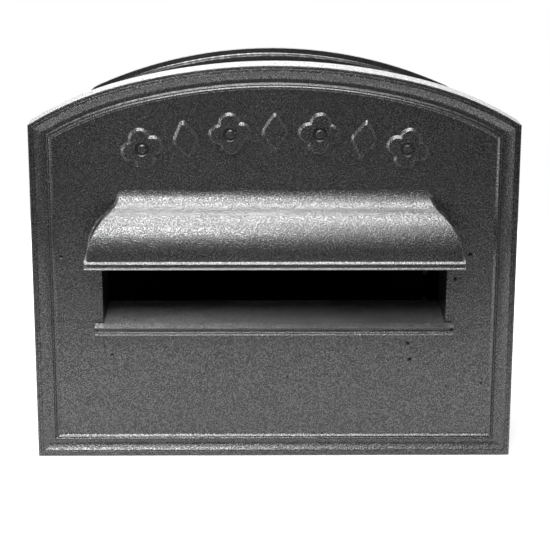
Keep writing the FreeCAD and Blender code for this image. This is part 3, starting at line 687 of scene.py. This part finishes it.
slot = {
    "half": 135.5, "top": 178.0, "rampSlope": 5.0, "cornerRound": 3.0,
    "chuteDepth": 25.0, "chuteWall": 4.0, "chuteRound": 2.0, "gridAcross": 6.0, "gridDeep": 4.5,
    "mouthRows": (0.8, 0.3, -0.1),  # rows of vertices by the mouth, from the panel's face
    "mouthRound": 0.8, "mouthDepth": 0.9, "mouthSpare": 0.3, "mouthFoot": 4.0,
    "floorGap": 0.5, "waveGap": 0.6, "wave": 0.25, "waveLength": 9.0,
}


def rampHeight(y):
    return sill["faceHeight"] + (y - plate["panelFront"]) * math.tan(math.radians(slot["rampSlope"]))


def chuteBlock():
    front = plate["panelFront"] + plate["thickness"] - overrun
    wall, depth = slot["chuteWall"], slot["chuteDepth"]
    half = slot["half"] + wall
    bm = prism([
        (front, rampHeight(front) - wall), (depth, rampHeight(depth) - wall), (depth, slot["top"] + wall),
        (front, slot["top"] + wall)], -half, half)
    deep = [e for e in bm.edges if abs(e.verts[0].co.y - e.verts[1].co.y) > overrun]
    roundEdges(bm, deep, slot["chuteRound"], 4)
    return objectFrom(bm, "chuteBlock")


def slotBore():
    panel, face = plate["panelFront"], sill["faceHeight"]
    half, top, mouthRows = slot["half"], slot["top"], slot["mouthRows"]
    front = panel - 2 * overrun
    depth = slot["chuteDepth"] + overrun
    bm = prism(
        [(front, face), (panel, face), (depth, rampHeight(depth)), (depth, top)]
        + [(panel + row, top) for row in mouthRows] + [(front, top)], -half, half)
    corners = [
        e for e in bm.edges if all(
            abs(abs(v.co.x) - half) < clear
            and (abs(v.co.z - rampHeight(v.co.y)) < slot["floorGap"] or abs(v.co.z - face) < clear)
            for v in e.verts)]
    roundEdges(bm, corners, slot["cornerRound"], 5)
    slicePlanes(bm, 0, -half, half, slot["gridAcross"])
    slicePlanes(bm, 1, panel, depth, slot["gridDeep"])
    for vert in bm.verts:
        x, y, z = vert.co
        nearMouth = panel + mouthRows[0] - y
        if nearMouth > -slot["mouthSpare"] and z > face + slot["mouthFoot"] and abs(x) > half - clear:
            flare = slot["mouthRound"] * min(1, (nearMouth / slot["mouthDepth"]) ** 2)
            vert.co.x += math.copysign(flare, x)
        if abs(z - rampHeight(y)) < slot["waveGap"] and panel < y < slot["chuteDepth"]:
            vert.co.z += slot["wave"] * unevenness(Vector((vert.co.x, 0, y)), slot["waveLength"])
    tidyNormals(bm)
    return objectFrom(bm, "slotBore")


# The ornaments over the hood, and the bosses behind

ornament = {
    "count": 7, "arcRadius": 409.7, "pitch": 4.83, "root": 1.0, "lobeRadius": 8.6, "lobeOffset": 8.3,
    "lobeSteps": 14, "lozengeHeight": 35.0, "lozengeWidth": 23.0, "tipRound": 3.8,
    "edge": [(0.25, 0.2), (0.75, 0.8), (0.75, 0.8), (0.3, 0.2), (0.35, 0.08)],  # each step in and up
}
eye = {  # the boss in the middle of a quatrefoil, and the hollow round it; heights are over the panel
    "footRadius": 3.9, "topRadius": 2.9, "foot": -1.0, "top": 2.0, "soft": 0.45,
    "hollowFootRadius": 4.6, "hollowTopRadius": 5.8, "hollowFoot": 0.1, "hollowTop": 2.5,
}


def raiseRoot(bm):  # fill an outline that is sunk in the panel, and push it up to the panel's face
    faces = fillEdges(bm, bm.edges[:])
    faceToward(faces, (0, -1, 0))
    return pushFaces(bm, faces, (0, -ornament["root"], 0))


def leafForm():  # four round lobes
    bm = bmesh.new()
    y = plate["panelFront"] + ornament["root"]
    offset, radius = ornament["lobeOffset"], ornament["lobeRadius"]
    meet = (offset + math.sqrt(2 * radius ** 2 - offset ** 2)) / 2
    sweep = 2 * math.degrees(math.atan2(meet, meet - offset))
    for number in range(4):
        turn = Matrix.Rotation(math.radians(90 * number), 3, "Y")
        start = turn @ Vector((meet, 0, -meet))
        centre = turn @ Vector((offset, 0, 0))
        vert = point(bm, start.x, y, start.z)
        arcFrom(bm, vert, (centre.x, y, centre.z), (0, 1, 0), -sweep, ornament["lobeSteps"])
    bmesh.ops.remove_doubles(bm, verts=bm.verts[:], dist=clear)
    insetSteps(bm, raiseRoot(bm), ornament["edge"])
    tidyNormals(bm)
    return objectFrom(bm, "leaf")


def discForm(radius, topRadius, low, high):
    panel = plate["panelFront"]
    bm = roundPost(radius, topRadius, high - low, (0, panel - (low + high) / 2, 0))
    rim = [e for e in bm.edges if all(v.co.y < panel - high + clear for v in e.verts)]
    roundEdges(bm, rim, eye["soft"])
    return objectFrom(bm, "disc")


def quatrefoil():
    leaf = leafForm()
    hollow = discForm(eye["hollowFootRadius"], eye["hollowTopRadius"], eye["hollowFoot"], eye["hollowTop"])
    combine(leaf, [hollow], "DIFFERENCE")
    return combine(leaf, [discForm(eye["footRadius"], eye["topRadius"], eye["foot"], eye["top"])], "UNION")


def lozenge():  # its steps are scaled in, because its tips are too narrow to be inset
    bm = bmesh.new()
    y = plate["panelFront"] + ornament["root"]
    halfW, halfH = ornament["lozengeWidth"] / 2, ornament["lozengeHeight"] / 2
    first = vert = point(bm, halfW, y, 0)
    for x, z in ((0, halfH), (-halfW, 0), (0, -halfH)):
        vert = lineTo(bm, vert, x, y, z)
    closeTo(bm, vert, first)
    bmesh.ops.bevel(
        bm, geom=bm.verts[:], offset=ornament["tipRound"], offset_type="OFFSET", affect="VERTICES",
        segments=3, profile=0.5, material=-1)
    rising = raiseRoot(bm)
    inner = halfW * halfH / math.hypot(halfW, halfH)
    for thickness, depth in ornament["edge"]:
        covered = rising
        rising = pushFaces(bm, covered, (0, -depth, 0))
        bmesh.ops.delete(bm, geom=covered, context="FACES_ONLY")
        share = (inner - thickness) / inner
        bmesh.ops.scale(bm, verts=list({v for f in rising for v in f.verts}), vec=(share, 1, share))
        inner -= thickness
    tidyNormals(bm)
    return objectFrom(bm, "lozenge")


def makeOrnaments():
    forms = [quatrefoil(), lozenge()]
    placed = []
    for number in range(ornament["count"]):
        angle = math.radians((number - (ornament["count"] - 1) / 2) * ornament["pitch"])
        made = newObject("ornament", forms[number % 2].data.copy())
        made.data.transform(
            Matrix.Translation((0, 0, crownCentre)) @ Matrix.Rotation(angle, 4, "Y")
            @ Matrix.Translation((0, 0, ornament["arcRadius"])))
        placed.append(made)
    for form in forms:
        bpy.data.objects.remove(form)
    return placed


boss = {
    "frontRadius": 6.5, "backRadius": 7.6, "height": 6.0, "hole": 2.55, "holeDepth": 9.4,
    "places": [(167.5, 90.0), (167.5, 190.0), (66.667, 17.5), (75.0, 274.48)],
}


def bossPosts(backRadius, frontRadius, front, back):
    middle = (front + back) / 2
    return [
        objectFrom(roundPost(backRadius, frontRadius, back - front, (side * x, middle, z)), "post")
        for x, z in boss["places"] for side in (-1, 1)]


flaws = {  # blowholes and knocks: place on the front, radius, depth below the face
    "pits": [
        (153.5, 166.6, 1.8, 3.6), (142.7, 147.1, 1.6, 3.2), (-167.4, 165.3, 1.4, 3.0),
        (-160.4, 162.9, 1.2, 2.6), (-134.7, 91.4, 1.1, 2.4), (-129.3, 84.7, 1.5, 3.2),
        (106.1, 94.0, 1.5, 3.2), (107.9, 80.6, 1.6, 3.4), (10.5, 65.6, 0.9, 2.0),
        (42.1, 68.5, 0.9, 2.0), (165.7, 60.7, 1.0, 2.0), (137.7, 58.2, 1.0, 2.0)],
    "dents": [(128.4, 44.7, 6.0, 0.35), (-155.0, 23.5, 5.0, 0.2)],
    "lumps": 0.25, "lumpScale": 1.7, "leastTall": 0.4,
    "marks": [  # nicks and scratches: place, half sizes, turn in the front's plane
        ((99.3, -27.1, 3.5), (1.6, 0.6, 1.0), 0), ((171.0, -27.2, 280.6), (1.9, 1.0, 0.9), 30),
        ((-155.1, -25.0, 23.5), (3.6, 0.22, 0.3), 38), ((-154.4, -25.0, 139.3), (5.6, 0.22, 0.3), 62),
        ((-120.0, -13.0, 112.3), (1.5, 1.1, 0.45), 0), ((-117.0, -14.5, 112.1), (1.0, 1.2, 0.4), 0),
        ((-111.2, -18.5, 111.8), (1.2, 0.9, 0.4), 0)],
}


def flawBall(place, sizes, turn, lumpy):
    bm = bmesh.new()
    bmesh.ops.create_icosphere(bm, subdivisions=2, radius=1)
    if lumpy:
        seed = Vector((place[0], place[2], 0))
        for vert in bm.verts:
            vert.co *= 1 + flaws["lumps"] * noise.noise(vert.co * flaws["lumpScale"] + seed)
    turned = Matrix.Rotation(math.radians(turn), 3, "Y")
    bmesh.ops.scale(bm, verts=bm.verts[:], vec=sizes)
    bmesh.ops.rotate(bm, verts=bm.verts[:], cent=(0, 0, 0), matrix=turned)
    bmesh.ops.translate(bm, verts=bm.verts[:], vec=place)
    return objectFrom(bm, "flaw")


def flawBalls():
    balls = []
    for x, z, radius, depth in flaws["pits"] + flaws["dents"]:
        tall = max(depth, radius * flaws["leastTall"])
        balls.append(flawBall((x, plate["panelFront"] - tall + depth, z), (radius, tall, radius), 0, True))
    return balls + [flawBall(*mark, False) for mark in flaws["marks"]]


def makeCasting():
    casting = makePlate()
    combine(casting, [hoodShell()] + lipBars() + sillParts() + [chuteBlock()], "UNION")
    combine(casting, [hoodHollow(), slotBore()], "DIFFERENCE")
    inside = plate["panelFront"] + plate["thickness"]
    tip = inside + boss["height"]
    posts = bossPosts(boss["backRadius"], boss["frontRadius"], inside - overrun, tip)
    combine(casting, makeOrnaments() + posts, "UNION")
    holes = bossPosts(boss["hole"], boss["hole"], tip - boss["holeDepth"], tip + overrun)
    combine(casting, holes, "DIFFERENCE")
    combine(casting, flawBalls(), "DIFFERENCE")
    finishPiece(casting, castMaterial, "box", "front_casting")


makeCasting()


# The rest of the metalwork: each node's form with softened edges

softening = {"merge": 0.002, "flatAngle": 0.4, "sharpAngle": 38, "shadeAngle": 34}
softened = {  # node: edge radius, material, body, record's slot
    "rear_frame": (0.7, frameMaterial, "box", "frame_paint"),
    "rear_door": (0.35, sheetMaterial, "door", "sheet_paint"),
    "hinge_frame_leaf_lower": (0.3, hingeMaterial, "box", "hinge_steel"),
    "hinge_frame_leaf_upper": (0.3, hingeMaterial, "box", "hinge_steel"),
    "hinge_door_leaf_lower": (0.3, hingeMaterial, "door", "hinge_steel"),
    "hinge_door_leaf_upper": (0.3, hingeMaterial, "door", "hinge_steel"),
    "lock_nut": (0.3, zincMaterial, "door", "zinc_steel"),
    "lock_cam": (0.25, zincMaterial, "lock_rotor", "zinc_steel"),
}


def softenNode(node, radius, material, body, slotName):
    bm = bmesh.new()
    bm.from_mesh(nodes[node].data)
    bmesh.ops.scale(bm, verts=bm.verts[:], vec=[1 / toMetres] * 3)
    bmesh.ops.remove_doubles(bm, verts=bm.verts[:], dist=softening["merge"])
    bmesh.ops.dissolve_limit(
        bm, angle_limit=math.radians(softening["flatAngle"]), use_dissolve_boundaries=False,
        verts=bm.verts[:], edges=bm.edges[:])
    sharpAngle = math.radians(softening["sharpAngle"])
    sharp = [e for e in bm.edges if len(e.link_faces) == 2 and e.calc_face_angle(0) > sharpAngle]
    roundEdges(bm, sharp, radius, 2)
    first, *words = node.split("_")
    piece = objectFrom(bm, first + "".join(word.capitalize() for word in words))
    finishPiece(piece, material, body, node, softening["shadeAngle"])


for node, settings in softened.items():
    softenNode(node, *settings)


# Camera, lights and background

shot = {
    "focal": 1700.0, "frame": 550.0, "sensor": 36.0, "yaw": 0.77, "pitch": 14.99, "roll": 0.14,
    "place": (-0.01707, -1.31723, 0.49658), "clip": (0.05, 20),
}


def makeCamera():
    data = bpy.data.cameras.new("camera")
    data.sensor_width = shot["sensor"]
    data.lens = shot["focal"] / shot["frame"] * shot["sensor"]
    data.clip_start, data.clip_end = shot["clip"]
    yaw, pitch, roll = (math.radians(shot[k]) for k in ("yaw", "pitch", "roll"))
    forward = Vector((math.sin(yaw) * math.cos(pitch), math.cos(yaw) * math.cos(pitch), -math.sin(pitch)))
    right = Vector((math.cos(yaw), -math.sin(yaw), 0))
    up = right.cross(forward)
    rolledRight = math.cos(roll) * right + math.sin(roll) * up
    rolledUp = math.cos(roll) * up - math.sin(roll) * right
    turn = Matrix((rolledRight, rolledUp, -forward)).transposed().to_4x4()
    scene.camera = newObject("camera", data)
    scene.camera.matrix_world = Matrix.Translation(Vector(shot["place"])) @ turn


lamps = {  # place and aim in metres
    "overhead": {
        "place": (-0.03, -0.36, 1.2), "aim": (0.0, -0.04, 0.2), "size": (0.75, 0.48), "radiance": 9.0},
    "frontLeft": {
        "place": (-0.2, -0.85, 0.98), "aim": (-0.06, -0.03, 0.12), "size": (0.42, 0.42), "radiance": 13.5},
    "left": {
        "place": (-1.3, -0.35, 0.45), "aim": (0.0, -0.03, 0.2), "size": (0.35, 0.8), "radiance": 5.5},
    "behind": {
        "place": (0.0, 1.9, 0.95), "aim": (0.0, 0.0, 0.2), "size": (2.2, 0.5), "radiance": 2.5},
}
studio = {  # the room's strengths and the directions where they change, then the floor
    "front": 0.02, "behind": 0.85, "sides": 0.8, "depthBand": (-0.3, 0.6), "sideBand": (0.82, 0.93),
    "glossyBand": (0.0, 0.3), "floorReach": 0.66, "floorMiddle": 0.22, "floorLevel": -0.0004,
    "floorSegments": 96, "floorShade": 0.9, "floorRough": 0.9, "floorShine": 0.2,
    "floorGlow": (0.2, 0.5, 0.5, 1.0),
}


def makeLamp(name, look):
    data = bpy.data.lights.new(name, "AREA")
    data.shape = "RECTANGLE"
    data.size, data.size_y = look["size"]
    data.energy = look["radiance"] * math.pi * data.size * data.size_y
    place, aim = Vector(look["place"]), Vector(look["aim"])
    turn = (aim - place).to_track_quat("-Z", "Y").to_matrix().to_4x4()
    newObject(name, data).matrix_world = Matrix.Translation(place) @ turn


def makeWorld():  # white to the camera; the room is bright behind the part and dim behind the camera
    world = bpy.data.worlds.new("studio")
    scene.world = world
    world.use_nodes = True
    tree = world.node_tree
    white = (1, 1, 1, 1)
    split = addNode(tree, "ShaderNodeSeparateXYZ")
    tree.links.new(addNode(tree, "ShaderNodeTexCoord").outputs["Generated"], split.inputs[0])
    depth = spread(tree, split.outputs["Y"], *studio["depthBand"], studio["front"], studio["behind"])
    across = mathNode(tree, "ABSOLUTE", split.outputs["X"], 0)
    sides = spread(tree, across, *studio["sideBand"], 0.0, studio["sides"])
    room = tree.nodes["Background"]
    feedAll(tree, room, {"Color": white, "Strength": mathNode(tree, "MAXIMUM", depth, sides)})
    backdrop = addNode(tree, "ShaderNodeBackground")
    feedAll(tree, backdrop, {"Color": white, "Strength": 1})
    light = addNode(tree, "ShaderNodeLightPath")
    behind = spread(tree, split.outputs["Y"], *studio["glossyBand"])  # where glossy rays see the backdrop
    glossy = mathNode(tree, "MULTIPLY", light.outputs["Is Glossy Ray"], behind)
    seen = mathNode(tree, "MAXIMUM", light.outputs["Is Camera Ray"], glossy)
    seen = mathNode(tree, "MAXIMUM", seen, light.outputs["Is Transmission Ray"])
    mix = addNode(tree, "ShaderNodeMixShader")
    for index, value in enumerate((seen, room.outputs[0], backdrop.outputs[0])):
        feed(tree, mix.inputs[index], value)
    tree.links.new(mix.outputs[0], tree.nodes["World Output"].inputs["Surface"])


def makeFloor():
    bm = bmesh.new()
    bmesh.ops.create_circle(bm, cap_ends=True, segments=studio["floorSegments"], radius=studio["floorReach"])
    bmesh.ops.translate(bm, verts=bm.verts[:], vec=(0, studio["floorMiddle"], studio["floorLevel"]))
    floor = objectFrom(bm, "floor")
    material, tree, shader, coords = newMaterial("floorPaper")
    length = addNode(tree, "ShaderNodeVectorMath", operation="LENGTH")
    tree.links.new(coords, length.inputs[0])
    camera = addNode(tree, "ShaderNodeLightPath").outputs["Is Camera Ray"]
    glow = spread(tree, length.outputs["Value"], *studio["floorGlow"])  # the paper fades to white
    feedAll(tree, shader, {
        "Base Color": [studio["floorShade"]] * 3 + [1],
        "Roughness": studio["floorRough"],
        "Specular IOR Level": studio["floorShine"],
        "Emission Color": (1, 1, 1, 1),
        "Emission Strength": mathNode(tree, "MULTIPLY", glow, camera)})
    paintMesh(floor.data, material)


makeCamera()
for name, look in lamps.items():
    makeLamp(name, look)
makeWorld()
makeFloor()
scene.view_settings.view_transform = "Standard"
print("camera, lights and floor made")
